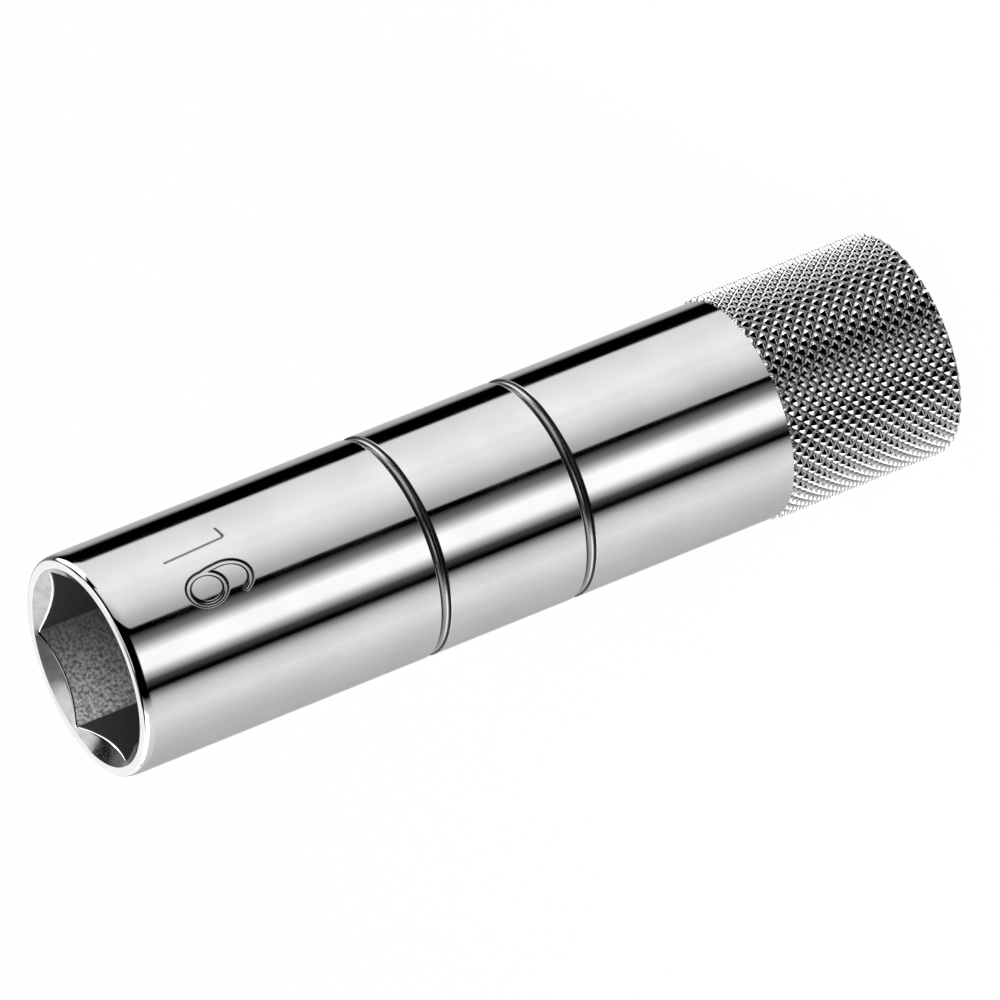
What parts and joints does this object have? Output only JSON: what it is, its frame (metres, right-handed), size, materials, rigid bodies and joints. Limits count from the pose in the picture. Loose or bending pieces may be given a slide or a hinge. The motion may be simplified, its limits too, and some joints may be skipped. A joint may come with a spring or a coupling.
{
  "type": "spark plug socket",
  "caption": "Deep hexagonal spark plug socket with a square drive, a knurled grip end and a rubber retaining insert in the bore.",
  "frame": {"origin": "centre of the drive end's face, on the socket's axis, where it stands", "axes": "+Z along the axis from the drive end to the hexagonal mouth; +X through the middle of one flat of the hexagon"},
  "size_m": [0.022, 0.022, 0.088],
  "materials": {
    "chrome": "polished chrome plate on forged tool steel, dull grey inside the hexagon",
    "rubber": "matt black rubber"
  },
  "bodies": {
    "root": {"socket_body": "chrome", "retaining_insert": "rubber"}
  },
  "joints": []
}
